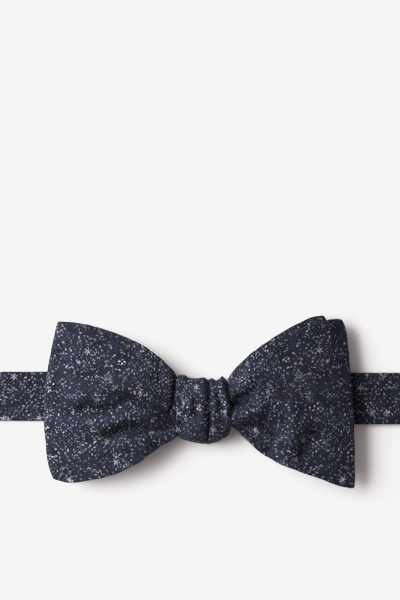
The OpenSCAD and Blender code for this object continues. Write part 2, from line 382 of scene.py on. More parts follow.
def canvas_cloth(name):
    """Undyed interlining canvas: plain weave of uneven yarns."""
    n = Nodes(name)
    uv = n.weave()
    yarns = n.scaled(uv, 1 / 0.0006)
    along, across, _ = (n.math("SINE", n.times(part, math.pi)) for part in n.split(yarns))
    over = n.times(along, across)
    slub = n.noise(n.vector("MULTIPLY", yarns, (0.12, 1.0, 1.0)), 3.0, 0.6)
    factor = n.math("ADD", n.times(over, 0.25), slub)
    colour = n.mix(n.ramp(factor, 0.2, 0.9), (0.42, 0.38, 0.29, 1), (0.74, 0.7, 0.6, 1))
    return n.shade({"Base Color": colour, "Roughness": 0.9, "Normal": n.bump(factor, 0.4, 0.0002)})


def nickel(name):
    """Polished nickel plate with fine polishing lines and dull patches from handling."""
    n = Nodes(name)
    place = n.place()
    lines = n.noise(n.vector("MULTIPLY", place, (9000, 900, 9000)), 2.0, 0.6)
    patches = n.noise(n.scaled(place, 260), 3.0, 0.6)
    colour = n.mix(n.ramp(patches, 0.35, 0.7), (0.43, 0.42, 0.405, 1), (0.56, 0.55, 0.535, 1))
    rough = n.math("ADD", n.ramp(patches, 0.35, 0.7, 0.2, 0.32), n.times(lines, 0.08))
    bump = n.bump(lines, 0.08, 0.00005)
    return n.shade({"Base Color": colour, "Metallic": 1.0, "Roughness": rough, "Normal": bump})


def sewing_thread(name):
    """Twisted navy thread."""
    n = Nodes(name)
    uv = n.weave()
    along, across, _ = n.split(n.scaled(uv, 1 / 0.00035))
    twist = n.math("PINGPONG", n.math("ADD", along, across), 1.0)
    colour = n.mix(twist, (0.02, 0.027, 0.05, 1), (0.09, 0.11, 0.17, 1))
    return n.shade({"Base Color": colour, "Roughness": 0.6, "Normal": n.bump(twist, 0.5, 0.0001)})


def paper_white(name):
    """A pale table with a slight tooth. Far from the tie it glows a little, so that it stays evenly pale."""
    n = Nodes(name)
    place = n.place()
    tooth = n.noise(n.scaled(place, 900), 3.0, 0.6)
    return n.shade({"Base Color": n.mix(tooth, (0.86, 0.86, 0.86, 1), (0.88, 0.88, 0.88, 1)),
                    "Roughness": 0.9, "Specular IOR Level": 0.1, "Emission Color": (1, 0.985, 0.985, 1),
                    "Emission Strength": n.ramp(n.length(place), 0.18, 0.6, 0.0, 0.68)})


# One fabric, copied for each part: the lining and band copies are painted darker as shade, and the knot copy
# lighter as painted light
front_cloth = flecked_cloth("front_bow_cloth", (0.013, 0.021, 0))
rear_cloth = flecked_cloth("rear_bow_cloth", (0.311, 0.117, 0))
lining_cloth = flecked_cloth("lining_cloth", (0.529, 0.443, 0), 0.9)
knot_cloth = flecked_cloth("knot_cloth", (0.731, 0.259, 0), 1.05)
band_cloth = flecked_cloth("band_cloth", (0.177, 0.683, 0), 0.85)
canvas = canvas_cloth("interlining_canvas")
metal = nickel("nickel_plate")
thread = sewing_thread("sewing_thread")


# ---- Placing pieces ----

def finished(ob, body, nodes, blend=None):
    """Hides the CAD parts that a piece replaces and parents the piece to its body; a piece with a blend is
    only baked in place. blend is (body, body, start, end), in millimetres.
    """
    if nodes:
        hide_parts(*nodes)
    if blend:
        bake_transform(ob)
    else:
        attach(ob, body)


# ---- Wings ----

# Rows of points across a blade, and the radii of the loops' folds
BLADE_ROWS = 64
front_loop_turn, rear_loop_turn = 2.6, 1.9

# Edges of each wing in plan, from inside the knot to the wing's outer end; the far edge joins them
front_loop_top = [(-7, 3.6), (-9.6, 6.0), (-10.9, 9.2), (-15.8, 14.8), (-22.3, 19.8), (-29.8, 23.8),
                  (-39.8, 27.4), (-49.8, 29.7), (-56.5, 30.3)]
front_loop_low = [(-7, -11.4), (-9.6, -12.4), (-10.9, -15.1), (-15.8, -18.1), (-20, -20.9), (-24.8, -24.4),
                  (-35.8, -29.8), (-44.8, -31.9), (-54.6, -32.7), (-58.2, -31.8)]
front_loop_far = [(-60, -26.4), (-61.3, -16.4), (-61.8, -8.9), (-61.7, 0.6), (-60.6, 10.6), (-58.3, 22.6)]

rear_end_top = [(-7, 4), (-12, 9), (-18, 14.5), (-27, 19.6), (-42, 25.2), (-54.2, 27.2)]
rear_end_low = [(-7, -11), (-12, -13.6), (-18, -17), (-27, -22), (-42, -27), (-55.5, -28)]
rear_end_far = [(-58.4, -8), (-57.6, 12)]

front_end_top = [(7, 3.8), (8.9, 5.5), (10.2, 8.4), (15.1, 13.8), (22.4, 19.5), (30.3, 24.4), (38.1, 27.5),
                 (47.9, 30.6), (51.6, 31.4), (54.3, 31.2)]
front_end_low = [(7, -7.2), (11.2, -10.7), (16.9, -16.1), (22.4, -21.1), (28.9, -24.9), (35.8, -27.8),
                 (45.1, -31), (53.8, -34.4), (59.3, -35.4)]
front_end_far = [(59.2, -20.8), (58.7, -6.9), (57.8, 6), (57.4, 12.5), (56.6, 20.8), (55.8, 27.4)]

rear_loop_top = [(7, 4.0), (8.9, 5.6), (10.2, 8.8), (15.1, 14.5), (22.4, 20.5), (30.3, 25.7), (38.1, 30),
                 (42.8, 32), (46.2, 32.5)]
rear_loop_low = [(7, -7), (11.2, -9.6), (16.9, -14.6), (22.4, -18.8), (28.9, -22.6), (38, -26.6),
                 (50.2, -29.4)]
rear_loop_far = [(51.8, -14), (51.4, 4), (50, 18), (48.4, 26), (47.6, 30.4)]


class Blade:
    """A wing's blade: its edges in plan, its height at every point, and the radius of a loop's turn."""

    def __init__(self, top, low, far, height, turn=None):
        self.top, self.low, self.far = top, low, [low[-1], *far, top[-1]]
        self.height, self.turn = height, turn
        self.length = float(gaps(top).sum())
        self.held = "folded" if turn else "gathered"

    def across(self, s, inset):
        """Fractions from the low edge to the top edge, close together near both, for each s."""
        span = np.linalg.norm(spline(self.top, s) - spline(self.low, s), axis=1)
        steps = inset + np.array([0, 0.05, 0.16, 0.34, 0.6, 0.95])
        inner = np.linspace(0, 1, BLADE_ROWS)[1:-1]
        edge = steps[None, :] / span[:, None]
        first, last = edge[:, -1:], 1 - edge[:, -1:]
        middle = first + (last - first) * inner[None, :]
        return np.concatenate([edge, middle, 1 - edge[:, ::-1]], axis=1), span

    def rounded(self, s, v, span):
        """Shares moved in from a cut end's two corners, so that they turn on an arc."""
        s = s[:, None] + 0 * v
        for corner, sign in [(0, 1), (1, -1)]:
            across = sign * (v - corner) * span[:, None]
            a = np.clip(1 - (1 - s) * self.length / CORNER_R, 0, 1)
            b = np.clip(1 - across / CORNER_R, 0, 1)
            s = s - (a - a * np.sqrt(1 - b * b / 2)) * CORNER_R / self.length
            v = v + sign * (b - b * np.sqrt(1 - a * a / 2)) * CORNER_R / span[:, None]
        return s, v

    def plan(self, s, v, span):
        s, v = (s[:, None] + 0 * v, v) if self.turn else self.rounded(s, v, span)
        low, top = spline(self.low, s), spline(self.top, s)
        far = spline(self.far, v)
        end_low, end_top = np.array(self.low[-1]), np.array(self.top[-1])
        straight = end_low + v[..., None] * (end_top - end_low)
        pull = smooth(s, 0.25, 1.0)[..., None]
        xy = low + v[..., None] * (top - low) + pull * (far - straight)
        uneven = [ridge_noise(xy[..., 0], xy[..., 1], seed, 6) for seed in (31, 37)]
        return xy + 0.25 * smooth(s, 0, 0.3)[..., None] * np.stack(uneven, axis=-1)

    def surface(self, inset=0.0):
        """Grid of points on the blade's middle, with cloth coordinates and distances from the sewn edges."""
        if self.turn:
            radius = self.turn
            share = radius / self.length
            out = np.linspace(0, 1 - share, 72)
            angle = np.linspace(0, math.pi, 13)[1:-1]
            back = np.linspace(1 - share, 0, 56)
            s = np.concatenate([out, 1 - share + share * np.sin(angle), back])
            layer = np.concatenate([out * 0, angle, back * 0 + math.pi])
            along = np.concatenate([out * self.length, out[-1] * self.length + radius * angle,
                                    out[-1] * self.length + radius * math.pi
                                    + (1 - share - back) * self.length])
            free = np.full(len(s), 1e3)
        else:
            edge = np.array([0.95, 0.6, 0.34, 0.16, 0.05, 0]) + inset
            s = np.concatenate([np.linspace(0, 1 - 1.2 * edge[0] / self.length, 80)[:-1],
                                1 - edge / self.length])
            layer, along = s * 0, s * self.length
            free = (1 - s) * self.length
        v, span = self.across(s, inset)
        xy = self.plan(s, v, span)
        z = self.height(xy[..., 0], xy[..., 1], s[:, None], v, layer[:, None])
        points = np.concatenate([xy, z[..., None]], axis=-1)
        flat = np.maximum(span, 30 + 18 * smooth(s, 0, 0.4))
        uv = np.stack(np.broadcast_arrays(along[:, None], (v - 0.5) * flat[:, None]), axis=-1)
        sewn = np.minimum(np.minimum(v, 1 - v) * span[:, None], free[:, None])
        area = float(((flat[1:] + flat[:-1]) / 2 * np.diff(along)).sum())
        return points, uv, sewn, area

    def panels(self, stem, side, blend, cloth):
        """The face panel, the lining panel and the interlining between them, as three pieces."""
        points, uv, sewn, area = self.surface()
        normal = grid_normals(points)
        roll = np.sqrt(1 - (1 - np.clip(sewn / EDGE_ROLL, 0, 1)) ** 2)[..., None]
        half = BLADE_T / 2
        for part, way, material, slot in [("face", side, cloth, "bow_cloth"),
                                          ("lining", -side, lining_cloth, "lining_cloth")]:
            outer = points + way * normal * np.maximum(half * roll, 0.06)
            inner = points + way * normal * np.maximum(half * roll - SHELL_T, 0.01)
            ob = slab(f"{stem}_{part}_panel", outer, inner, uv, material)
            finished(ob, blend[1], [f"{stem}_{part}"], blend)
        points, uv, _, area = self.surface(inset=1.0)
        normal = grid_normals(points)
        core = half - SHELL_T - 0.06
        ob = slab(f"{stem}_canvas", points + normal * core, points - normal * core, uv, canvas)
        finished(ob, blend[1], [f"{stem}_interlining"], blend)


def layered(front, back, middle, radius, s, layer):
    """Heights of a loop: the front layer, round its fold, and the back layer."""
    settle = smooth(s, 0.8, 0.97)
    high = front + (middle + radius - front) * settle
    low = back + (middle - radius - back) * settle
    turning = middle + radius * np.cos(layer)
    return np.where(layer <= 0, high, np.where(layer >= math.pi, low, turning))


def profile(x, points, count=120):
    """Height at each x of a smooth profile through (x, height) points."""
    line = spline(points, np.linspace(0, 1, count))
    return np.interp(x, line[:, 0], line[:, 1])


front_loop_folds = [
    (drop, [(-40, 4.6), (-35, 3.6), (-29, 2), (-23, 0), (-16, -3.2), (-9, -7.4)], 1.7, 2.5, 0.2),
    (drop, [(-50, -1), (-45, -1.8), (-40, -2.2), (-35.4, -2.4), (-31, -2)], 2.1, 2.6, 0.2),
    (crease, [(-50, -1), (-38, -1), (-27, -1.6), (-18, -4.4)], 3.2, -1.2),
    (drop, [(-42, -15.6), (-37, -12.8), (-33, -10.6), (-27, -9.6), (-20, -10.2), (-10, -10)], 2.8, 2.8),
    (crease, [(-42, -16), (-35, -12.6), (-27, -11.4), (-18, -11.4)], 2.8, -1.4),
    (crease, [(-44, -21.4), (-28, -17), (-18, -14.6), (-9, -12.8)], 2.2, 0.7),
    (crease, [(-40, 27), (-30, 22), (-22, 16), (-13, 9)], 4.5, -1.2, 0.4),
    (crease, [(-11, 10), (-11.4, 4), (-12, 0), (-13.2, -5), (-14, -8.4)], 0.9, -1.6, 0.2),
]
front_loop_back_folds = [
    (crease, [(-40, 4), (-24, 0), (-9, -4)], 2.6, 0.4),
    (crease, [(-40, -14), (-24, -10), (-9, -8)], 2.4, 0.4),
]


def front_loop_height(x, y, s, v, layer):
    edge = 2 * v - 1
    front = profile(s, [(0, 10.8), (0.08, 11.4), (0.24, 13.7), (0.5, 15.8), (0.74, 15.2), (1, 12.8)])
    front = front - 1.0 * edge**4 + 0.35 * ridge_noise(x, y, 3, 22) * smooth(s, 0.1, 0.4)
    front = folded(front, x, y, front_loop_folds)
    back = profile(s, [(0, 7.5), (0.3, 7.5), (0.7, 7.2), (1, 7.6)]) + 0.3 * ridge_noise(x, y, 5, 26)
    back = folded(back, x, y, front_loop_back_folds)
    middle = 10.2 - 0.7 * edge**2 + 0.25 * np.sin(v * 7)
    return layered(front, back, middle, front_loop_turn, s, layer)


rear_end_folds = [
    (crease, [(-40, 6), (-24, 1), (-9, -3)], 2.4, 0.6),
    (crease, [(-38, -13), (-24, -9), (-9, -7)], 2.2, 0.5),
]


def rear_end_height(x, y, s, v, layer):
    edge = 2 * v - 1
    z = profile(s, [(0, 5.8), (0.3, 5.1), (0.7, 4.9), (1, 4.7)])
    z = z + 0.2 * ridge_noise(x, y, 11, 24) * smooth(s, 0.1, 0.5)
    return folded(z, x, y, rear_end_folds) - 0.15 * edge**4


front_end_upper_folds = [
    (crease, [(7, 2.2), (12, 5), (18, 8.4), (23, 11)], 2.1, 0.6, 0.4),
    (drop, [(7, -2.4), (10.6, -0.4), (14.2, 1.9), (18.5, 3.8), (21.6, 4.8)], 1.8, 2.3),
    (crease, [(9, -2.2), (13.4, -0.2), (18.4, 1.2), (24, 3)], 0.8, 0.9),
    (crease, [(10.4, -3.1), (13.4, -2.2), (16.8, -1.5), (20, -0.2)], 0.9, -1.5),
    (crease, [(8, -7.4), (12, -6.6), (17, -5.4), (22, -3.8), (27, -1.6)], 1.8, 0.7),
    (drop, [(8, -10), (11.5, -9), (16.6, -7.7), (22, -6.5), (26, -5.8)], 1.7, 2.3),
]
# The lower half of the cut end lies deeper than the fold above it
front_end_hollow = [(0, -12.6), (9, -10), (14, -8.3), (19, -7), (24, -6.6), (29, -8), (31.6, -12),
                    (31.4, -18), (28, -26), (20, -40)]
front_end_lower_folds = [
    (crease, [(11.4, 2), (12, -3), (12.4, -7)], 1.4, 1.3, 0.3),
    (crease, [(12, -10.6), (17, -15.2), (22, -19.8), (29, -23.8)], 1.3, 1.3, 0.3),
    (crease, [(14, -10.6), (19, -11.6), (25, -12.8), (31, -13.4)], 1.2, 1.2),
    (crease, [(33.4, 0), (34.8, -6), (34.8, -12), (33.2, -18)], 2.1, 1.7),
    (drop, [(36.4, -27), (35.8, -22.8), (37.4, -18.2), (41.2, -13), (45.2, -8)], 2.8, 1.7),
    (crease, [(30, 13), (42, 8), (52, 6)], 4.5, 0.5, 0.45),
]


def front_end_height(x, y, s, v, layer):
    edge = 2 * v - 1
    z = profile(s, [(0, 11.2), (0.06, 12.4), (0.2, 14.9), (0.36, 16.2), (0.62, 14.4), (0.86, 11.6),
                    (1, 9.2)])
    z = z - 0.8 * edge**4 + 0.4 * ridge_noise(x, y, 7, 24) * smooth(s, 0.15, 0.5)
    z = z - 2.2 * smooth(s, 0.86, 1) * smooth(v, 0.4, 1)
    z = folded(z, x, y, front_end_upper_folds)
    z = z + sink(x, y, front_end_hollow, 4.6, 6.6) * (0.62 + 0.38 * smooth(x, 9, 20))
    return folded(z, x, y, front_end_lower_folds)


def rear_loop_height(x, y, s, v, layer):
    edge = 2 * v - 1
    front = profile(s, [(0, 7.6), (0.3, 7.9), (0.7, 8.6), (1, 8.7)])
    front = front + 0.15 * ridge_noise(x, y, 13, 24) - 0.2 * edge**4
    front = front + crease(x, y, [(4, -10), (12, -11.6), (20, -13.6), (30, -19)], 5.0, -1.5)
    back = profile(s, [(0, 4.8), (0.4, 4.7), (1, 4.9)]) + 0.1 * ridge_noise(x, y, 17, 24)
    middle = 6.8 + 0.1 * np.sin(v * 5)
    return layered(front, back, middle, rear_loop_turn, s, layer)


left_blend = ("knot", "left_wing", (-10.5, 0, 0), (-24, 0, 0))
right_blend = ("knot", "right_wing", (10.5, 0, 0), (24, 0, 0))

Blade(front_loop_top, front_loop_low, front_loop_far, front_loop_height, front_loop_turn).panels(
    "front_loop", -1, left_blend, front_cloth)
Blade(rear_end_top, rear_end_low, rear_end_far, rear_end_height).panels(
    "rear_end", -1, left_blend, rear_cloth)
Blade(front_end_top, front_end_low, front_end_far, front_end_height).panels(
    "front_end", 1, right_blend, front_cloth)
Blade(rear_loop_top, rear_loop_low, rear_loop_far, rear_loop_height, rear_loop_turn).panels(
    "rear_loop", -1, right_blend, rear_cloth)


# ---- Knot ----

knot_top = [(-11.2, 8.0), (-10.5, 9.1), (-9, 9.3), (-7.5, 9.2), (-6.1, 8.3), (-4, 7.9), (-1.8, 8.0),
            (0.6, 8.2), (1.5, 7.5), (3.3, 8.0), (4.9, 7.1), (6.2, 7.7), (7.3, 8.8), (8.4, 7.9), (11.4, 6.8)]
knot_bottom = [(-11.2, -14.8), (-9.5, -15.5), (-7.3, -16.3), (-4.5, -17.1), (-1.8, -17.5), (0.4, -17.9),
               (2, -18.3), (3.2, -17.6), (5.4, -16.9), (7.6, -15.7), (9.2, -14.9), (11.4, -13.8)]
knot_front = [(-11.2, 15.8), (-8, 16.6), (-3.5, 17.3), (0, 17.2), (4, 17.2), (8, 17.4), (11.4, 16.6)]
# How each side edge turns in: distance from the side, and depth below the face
knot_curl = [(1.9, 2.9), (0.8, 2.4), (0.15, 1.75), (0, 1.1), (0.2, 0.5), (0.75, 0.12), (1.6, 0)]
flat_edge = [(0.9, 0.0), (1.5, 0.0)]
knot_middle = -4.8
# Powers of the wrap's rounding: at its back, and at the front's lower and upper ends
knot_back, knot_low_front, knot_high_front = 2 / 6.0, 2 / 1.85, 2 / 2.9
# Folds of the wrap over its front, running from top to bottom
knot_pleats = [
    (crease, [(2.2, 12), (2.1, 5), (2.4, -1.5)], 0.8, -2.2, 0.1),
    (crease, [(2.1, -4.5), (2.4, -11), (1.7, -16), (1.3, -21)], 0.8, -2.4, 0.12),
    (crease, [(2.2, 1), (2.2, -7)], 0.9, -0.8, 0.3),
    (crease, [(5.2, 4.4), (6.0, 1.6), (6.8, -3), (6.3, -7.4)], 1.1, -1.5, 0.35),
    (crease, [(-3.5, 1.8), (-3.3, -3), (-2.9, -7), (-2.6, -12)], 1.2, -1.3, 0.35),
    (crease, [(-7.0, -3), (-7.4, -6), (-7.7, -9), (-7.4, -13)], 1.0, -0.8, 0.3),
    (crease, [(-8.8, 12), (-9.0, 0), (-8.8, -14)], 0.4, -0.7, 0.15),
    (crease, [(-9.9, 10), (-10.1, -4), (-9.9, -12)], 0.45, 0.6, 0.08),
    (crease, [(-8.5, 8), (-8.5, 3), (-8.2, -2)], 0.8, 0.45),
    (crease, [(-5.1, 4), (-5.0, -2), (-6.0, -10)], 0.8, 0.6),
    (crease, [(-0.6, 7), (-0.5, -4), (-1.0, -15)], 1.1, 0.5),
    (crease, [(7.4, 8), (8.0, 2), (9.0, -5), (9.2, -11)], 0.8, 0.6),
    (crease, [(4.0, 7), (3.9, -2), (4.0, -14)], 0.9, 0.4),
]


def side_left(y):
    return -10.5 - 0.25 * np.sin(y * 0.55 + 1.2) - 0.15 * np.sin(y * 1.3)


def side_right(y):
    return 9.0 + 2.2 * np.exp(-(((y + 7) / 9) ** 2))


def knot_surface(inset=0.0, curl=knot_curl, turns=176, spread=0.0):
    """Grid over the wrap: rows from its left edge to its right, columns once round it.

    A layer under the wrap has a spread, which widens its pleats so that it clears them.
    """
    margin = curl[-1][0]
    angle = np.linspace(0, 2 * math.pi, turns + 1)
    c, s = np.cos(angle), np.sin(angle)
    power = np.where(s < 0, knot_back, np.where(c < 0, knot_low_front, knot_high_front))
    stations = [(0, *place) for place in curl]
    stations += [(share, 0, 0.0) for share in np.linspace(0, 1, 60)[1:-1]]
    stations += [(1, *place) for place in curl[::-1]]
    rows = []
    for share, turn, depth in stations:
        y = c * 12 + knot_middle
        # The sides lean, so a row's place and its height are found together
        for _ in range(3):
            left, right = side_left(y) + inset, side_right(y) - inset
            if share == 0:
                x = left + turn
            elif share == 1:
                x = right - turn
            else:
                x = left + margin + (right - left - 2 * margin) * share
            top = profile(x, knot_top, 200) - inset - depth
            low = profile(x, knot_bottom, 200) + inset + depth
            front = profile(x, knot_front, 200) - inset - depth
            back = 0.06 + inset + 0.35 * depth
            y = (top + low) / 2 + (top - low) / 2 * np.sign(c) * np.abs(c) ** power
            z = (front + back) / 2 + (front - back) / 2 * np.sign(s) * np.abs(s) ** power
        rows.append(np.stack([x, y, z], axis=-1))
    points = np.array(rows)
    points[:, -1] = points[:, 0]
    normal = grid_normals(points, closed=True)
    out = points - points[:, :-1].mean(axis=1, keepdims=True)
    normal = normal * np.sign((normal * out).sum(-1).mean())
    facing = smooth(normal[..., 2], -0.35, 0.5) * smooth(points[..., 2], 2, 6)
    lift = [folded(0, points[..., 0] + step * spread, points[..., 1], knot_pleats)
            for step in (-1, -0.5, 0, 0.5, 1)]
    points = points + normal * (facing * np.min(lift, axis=0))[..., None]
    points[:, -1] = points[:, 0]
    around = running(gaps(points, 1).mean(axis=0))
    across = running(gaps(points).mean(axis=1))
    uv = np.stack(np.meshgrid(around, across), axis=-1)
    return points, normal, uv, (across[-1], around[-1])


def knot_layer(name, node, slot, material, wall, **shape):
    """A layer of the knot, as thick as its wall; the shape is what knot_surface takes."""
    points, normal, uv, size = knot_surface(**shape)
    ob = slab(name, points, points - wall * normal, uv, material, closed=True)
    finished(ob, "knot", [node])


knot_layer("knot_wrap_cloth", "knot_wrap", "bow_cloth", knot_cloth, 0.45)
knot_layer("knot_canvas", "knot_interlining", "interlining", canvas, 0.6,
           inset=0.62, curl=flat_edge, turns=120, spread=1.4)


def waist(node, low, high, droop, pleat_count, cloth):
    """The gathered middle of a bow: a blade folded into pleats, seen from its end."""
    half_x, reach, thick = 7.0, 7.4, 0.55
    v = np.linspace(0, 1, 120)
    y = knot_middle + 1.2 + (2 * v - 1) * reach
    middle, swing = (low + high) / 2, (high - low) / 2 - thick - 0.1
    z = middle + swing * np.sin(v * math.pi * (2 * pleat_count + 1) + 0.4) * (1 - 0.25 * (2 * v - 1) ** 4)
    z = z - droop * (2 * v - 1) ** 4
    x = np.linspace(-half_x, half_x, 12)
    line = np.stack([np.zeros_like(y), y, z], axis=-1)
    points = line[None] + np.array([1.0, 0, 0]) * x[:, None, None]
    along = running(gaps(line))
    normal = grid_normals(points)
    uv = np.stack(np.meshgrid(along, x), axis=-1)[..., ::-1]
    ob = slab(node + "_cloth", points + thick * normal, points - thick * normal, uv, cloth)
    finished(ob, "knot", [node])


waist("front_waist", low=9.0, high=13.3, droop=1.4, pleat_count=2, cloth=front_cloth)
waist("rear_waist", low=3.6, high=8.3, droop=0.3, pleat_count=1, cloth=rear_cloth)


# ---- Neckband ----

half_band = 19.5 / 2
band_middle, band_half_t = 2.5, 0.8
strap_middle, strap_half_t = 2.4, 0.65
# Where the stretches of each side end, and how far its looser seams widen the right one
centre_end, inner_end, middle_end, right_end, left_end = 9, 39, 69, 187, 90
looseness = 0.4
# Inside the knot the band is squeezed into the wrap, and lies lower
knot_squeeze, knot_shift = 2.5, 2.3


def raised(path, y, lift):
    """Points y to the side of a path of (x, z) points, and lifted off it along its normals."""
    slope = np.gradient(path, axis=0)
    slope /= np.linalg.norm(slope, axis=1, keepdims=True)
    return np.stack([path[:, :1] - slope[:, 1:] * lift, y, path[:, 1:] + slope[:, :1] * lift], axis=-1)


def tube(stem, body, path, half_w, half_t, centre_y=0.0, blend=None, start=0.0):
    """A flat tube of cloth along a path of (x, z) points, with soft round edges."""
    sizes = (np.broadcast_to(a, len(path)).astype(float) for a in (half_w, half_t, centre_y))
    half_w, half_t, centre_y = sizes
    bend = np.linspace(math.pi / 2, -math.pi / 2, 11)[1:-1]
    flat = np.linspace(-1, 1, 31)
    along = running(gaps(path)) + start
    grids = []
    for share in (0, 1):
        wall = share * np.minimum(SHELL_T - 0.02, 0.6 * half_t)
        thick = (half_t - wall)[:, None]
        wide = (half_w - wall)[:, None] - thick
        y = np.concatenate([wide * flat, wide + thick * np.cos(bend), -wide * flat,
                            -wide - thick * np.cos(bend), -wide], axis=1)
        puff = 0.09 * (1 - flat**2) - 0.07 * np.exp(-(((np.abs(flat) - 0.86) / 0.07) ** 2))
        lift = np.concatenate([thick + puff, thick * np.sin(bend), -thick - 0.4 * puff,
                               thick * np.sin(bend[::-1]), thick + puff[0]], axis=1)
        y = y + centre_y[:, None]
        lift = lift + 0.05 * ridge_noise(along[:, None] + 0 * y, y, 23, 16)
        grids.append(raised(path, y, lift))
    around = running(gaps(grids[0], 1).mean(axis=0))
    uv = np.stack(np.meshgrid(around, along), axis=-1)[..., ::-1]
    ob = slab(stem + "_cloth", grids[0], grids[1], uv, band_cloth, closed=True)
    finished(ob, body, [stem], blend)


def squeezed(x):
    """How far the band is squeezed by the knot: 1 inside it and 0 away from it."""
    return 1 - smooth(np.abs(x), 9, 18)


def eased(x):
    """Where the right half of the band, a little looser in its seams, is wider."""
    return smooth(x, 40, 56) * (1 - smooth(x, 84, 100))


def drift(x):
    """How far the band wanders sideways on the table."""
    return 0.75 * smooth(-x, 14, 42) * (1 - smooth(-x, 79, 92)) - 0.2 * eased(x)


def stretch(stem, body, path, half_t, blend=None, start=0.0):
    """The cloth of a stretch of the band, squeezed by the knot and wandering over the table."""
    x = path[:, 0]
    half_w = half_band - knot_squeeze * squeezed(x) + looseness * eased(x)
    centre_y = drift(x) - knot_shift * squeezed(x)
    tube(stem, body, path, half_w, half_t, centre_y, blend, start)


def core_strip(stem, body, start, end, blend=None):
    """The interlining inside a stretch of the band."""
    x = np.linspace(start, end, max(3, int(abs(end - start) / 1.5)))
    seam, half_t = 0.6, np.array([0, 0, 0.3])
    squeeze = squeezed(x)[:, None]
    half_w = half_band - seam - knot_squeeze * squeeze
    y = np.linspace(-1, 1, 9) * half_w - knot_shift * squeeze + drift(x)[:, None]
    points = np.stack(np.broadcast_arrays(x[:, None], y, band_middle), axis=-1)
    ob = slab(stem + "_canvas", points + half_t, points - half_t, points[..., :2] + 200, canvas)
    finished(ob, body, [stem + "_interlining"], blend)


def level(start, end, z=band_middle, count=None):
    """A straight path of (x, z) points, about 1.2 mm apart if their count isn't given."""
    x = np.linspace(start, end, count or max(4, int(abs(end - start) / 1.2)))
    return np.stack([x, 0 * x + z], axis=1)


stretch("band_centre", "knot", level(-centre_end, centre_end), band_half_t)
core_strip("band_centre", "knot", -8.8, 8.8)

# Each bend is a blend round a joint: where it is, and how far it reaches to either side
inner_part = ("inner", centre_end, inner_end, 24, 12)
middle_part = ("middle", inner_end, middle_end, 54, 12)
outer_part = ("outer", middle_end, right_end, 84, 6)
for side, hand, parts in [(-1, "left", [inner_part, middle_part]),
                          (1, "right", [inner_part, middle_part, outer_part])]:
    held_by = "knot"
    for part, start, end, joint, reach in parts:
        stem, body = f"{hand}_band_{part}", f"{hand}_{part}_band"
        bend = (held_by, body, (side * (joint - reach), 0, 0), (side * (joint + reach), 0, 0))
        stretch(stem, body, level(side * start, side * end), band_half_t, bend, start)
        core_strip(stem, body, side * max(start, 9.2), side * min(end, 186.5), bend)
        held_by = body

# The left end narrows in thickness to the adjuster's strap
path = level(-middle_end, -left_end)
thinning = smooth(-path[:, 0], 72, 88)
path[:, 1] += (strap_middle - band_middle) * thinning
bend = ("left_middle_band", "left_outer_band", (-78, 0, 0), (-90, 0, 0))
stretch("left_band_outer", "left_outer_band", path,
        band_half_t + (strap_half_t - band_half_t) * thinning, bend, middle_end)


# ---- Adjuster's strap ----

# Bars of the hook, the eye and the slider, and the strap's ends
bar_z = 2.3
hook_x, eye_x, slider_x = -194.0, 197.0, -149.0
fold_x, return_x = -184, -155
turn_r = 1.5
under_z = bar_z - turn_r

slide = ("left_outer_band", "strap_turn", (-left_end, 0, 0), (fold_x, 0, 0))
stretch("strap_run", "left_outer_band", level(-left_end, fold_x, strap_middle), strap_half_t, slide, left_end)


def arc(x, z, radius, angle):
    """Points of an arc about (x, z)."""
    return np.stack([x + radius * np.cos(angle), z + abs(radius) * np.sin(angle)], axis=1)


def turned(legs_at, bar_at, top, low_end):
    """Path of a strap over a bar and back under it."""
    rise = np.linspace(0, 1, 12)
    over = np.stack([legs_at + (bar_at - legs_at) * rise,
                     top + (bar_z + turn_r - top) * smooth(rise, 0.15, 0.95)], axis=1)
    angle = np.linspace(math.pi / 2, -math.pi / 2, 17)[1:-1]
    bend = arc(bar_at, bar_z, math.copysign(turn_r, bar_at), angle)
    return np.concatenate([over, bend, level(bar_at, low_end, under_z, 14)])


tube("hook_fold", "strap_turn", turned(fold_x, hook_x, strap_middle, fold_x), half_band, strap_half_t,
     start=-fold_x)
path = level(fold_x, return_x, under_z)
thinning = 0.38 * smooth(path[:, 0], -160, -156)
tube("strap_return", "strap_turn", path, half_band, strap_half_t - thinning,
     blend=("strap_turn", "slider", (fold_x, 0, 0), (return_x, 0, 0)), start=210)
tube("eye_fold", "right_outer_band", turned(right_end, eye_x, band_middle, 182.5), half_band,
     strap_half_t - 0.02, start=right_end)

# The strap's end passes round the slider's flat middle bar and is sewn to itself
wrap_r = 0.5
legs_end, end_turn = -156.5, slider_x + 0.9
angle = np.linspace(math.pi / 2, -math.pi / 2, 13)[1:-1]
path = np.concatenate([level(legs_end, end_turn, under_z + wrap_r, 12),
                       arc(end_turn, under_z, wrap_r, angle),
                       level(end_turn, legs_end, under_z - wrap_r, 12)])
tube("strap_end", "slider", path, half_band - 0.5, 0.2, start=240)


# ---- Thread ----

def swept(path, radius, sides, closed=False):
    """Rings of a round wire along a path."""
    path = np.array(path, float)
    if closed:
        ahead, behind = np.roll(path, -1, axis=0), np.roll(path, 1, axis=0)
    else:
        ahead = np.concatenate([path[1:], 2 * path[-1:] - path[-2:-1]])
        behind = np.concatenate([2 * path[:1] - path[1:2], path[:-1]])
    way = ahead - behind
    way /= np.linalg.norm(way, axis=1, keepdims=True)
    side = np.cross(way, [0, 0, 1.0])
    side /= np.linalg.norm(side, axis=1, keepdims=True)
    up = np.cross(side, way)
    angle = np.linspace(0, 2 * math.pi, sides, endpoint=False)
    ring = radius * (np.cos(angle)[:, None] * side[:, None] + np.sin(angle)[:, None] * up[:, None])
    return path[:, None] + ring


